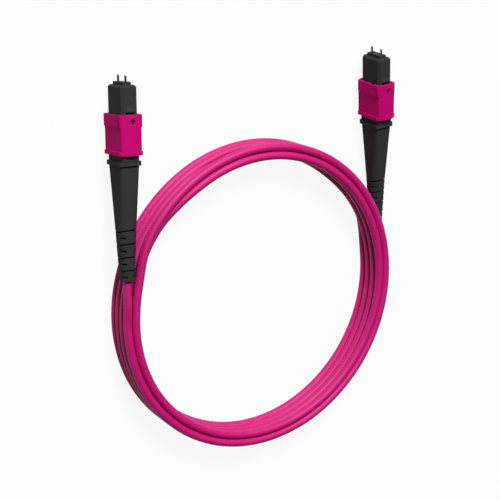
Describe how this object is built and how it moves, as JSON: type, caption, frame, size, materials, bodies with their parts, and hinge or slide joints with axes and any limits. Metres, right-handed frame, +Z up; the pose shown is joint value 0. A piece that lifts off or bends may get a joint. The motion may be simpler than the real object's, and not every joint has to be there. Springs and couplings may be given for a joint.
{
  "type": "fibre optic patch cable",
  "caption": "Round fibre optic cord in a flat coil, with a pinned multi-fibre push-on plug, sliding sleeve and slit strain relief boot on each end.",
  "frame": {"origin": "on the floor below the middle of the box around the pair of plugs; the coil lies towards -Y", "axes": "+Z up, out of the plane of the coil; +X from plug a to plug b; the plugs point along +Y"},
  "size_m": [0.1022, 0.1262, 0.0134],
  "materials": {
    "cord_jacket": "smooth extruded jacket",
    "sleeve_plastic": "moulded, satin gloss",
    "black_plastic": "moulded, fine texture",
    "boot_rubber": "moulded, matt",
    "ferrule_plastic": "moulded, polished end face",
    "pin_steel": "ground",
    "clamp_steel": "stamped",
    "spring_steel": "drawn wire",
    "crimp_metal": "nickel plated",
    "yarn": "loose fibres",
    "ferrule_boot_rubber": "moulded",
    "fibre_coating": "coated fibres"
  },
  "bodies": {
    "cable_and_plugs": {"boot_a": "boot_rubber", "boot_b": "boot_rubber", "cable_coil": "cord_jacket", "cable_end_a": "cord_jacket", "cable_end_b": "cord_jacket", "cable_lead_a": "cord_jacket", "cable_lead_b": "cord_jacket", "crimp_ring_a": "crimp_metal", "crimp_ring_b": "crimp_metal", "ferrule_spring_a": "spring_steel", "ferrule_spring_b": "spring_steel", "inner_housing_a": "black_plastic", "inner_housing_b": "black_plastic", "sleeve_spring_lower_a": "spring_steel", "sleeve_spring_lower_b": "spring_steel", "sleeve_spring_upper_a": "spring_steel", "sleeve_spring_upper_b": "spring_steel", "spring_push_a": "black_plastic", "spring_push_b": "black_plastic", "strength_yarn_a": "yarn", "strength_yarn_b": "yarn"},
    "sleeve_a": {"outer_sleeve_a": "sleeve_plastic"},
    "sleeve_b": {"outer_sleeve_b": "sleeve_plastic"},
    "ferrule_set_a": {"ferrule_a": "ferrule_plastic", "guide_pin_upper_a": "pin_steel", "guide_pin_lower_a": "pin_steel", "pin_clamp_a": "clamp_steel", "ferrule_boot_a": "ferrule_boot_rubber", "fibre_ribbon_a": "fibre_coating"},
    "ferrule_set_b": {"ferrule_b": "ferrule_plastic", "guide_pin_upper_b": "pin_steel", "guide_pin_lower_b": "pin_steel", "pin_clamp_b": "clamp_steel", "ferrule_boot_b": "ferrule_boot_rubber", "fibre_ribbon_b": "fibre_coating"}
  },
  "joints": [
    {"name": "sleeve_slide_a", "type": "slide", "parent": "cable_and_plugs", "child": "sleeve_a", "axis": [-0.0391, -0.9961, 0.0791], "range_m": [0, 0.0015], "stiffness_N_per_m": 1000, "deforming": ["sleeve_spring_upper_a", "sleeve_spring_lower_a"]},
    {"name": "ferrule_float_a", "type": "slide", "parent": "cable_and_plugs", "child": "ferrule_set_a", "axis": [-0.0391, -0.9961, 0.0791], "range_m": [0, 0.0008], "stiffness_N_per_m": 4000, "deforming": ["ferrule_spring_a"]},
    {"name": "sleeve_slide_b", "type": "slide", "parent": "cable_and_plugs", "child": "sleeve_b", "axis": [0.1058, -0.9901, -0.0919], "range_m": [0, 0.0015], "stiffness_N_per_m": 1000, "deforming": ["sleeve_spring_upper_b", "sleeve_spring_lower_b"]},
    {"name": "ferrule_float_b", "type": "slide", "parent": "cable_and_plugs", "child": "ferrule_set_b", "axis": [0.1058, -0.9901, -0.0919], "range_m": [0, 0.0008], "stiffness_N_per_m": 4000, "deforming": ["ferrule_spring_b"]}
  ]
}
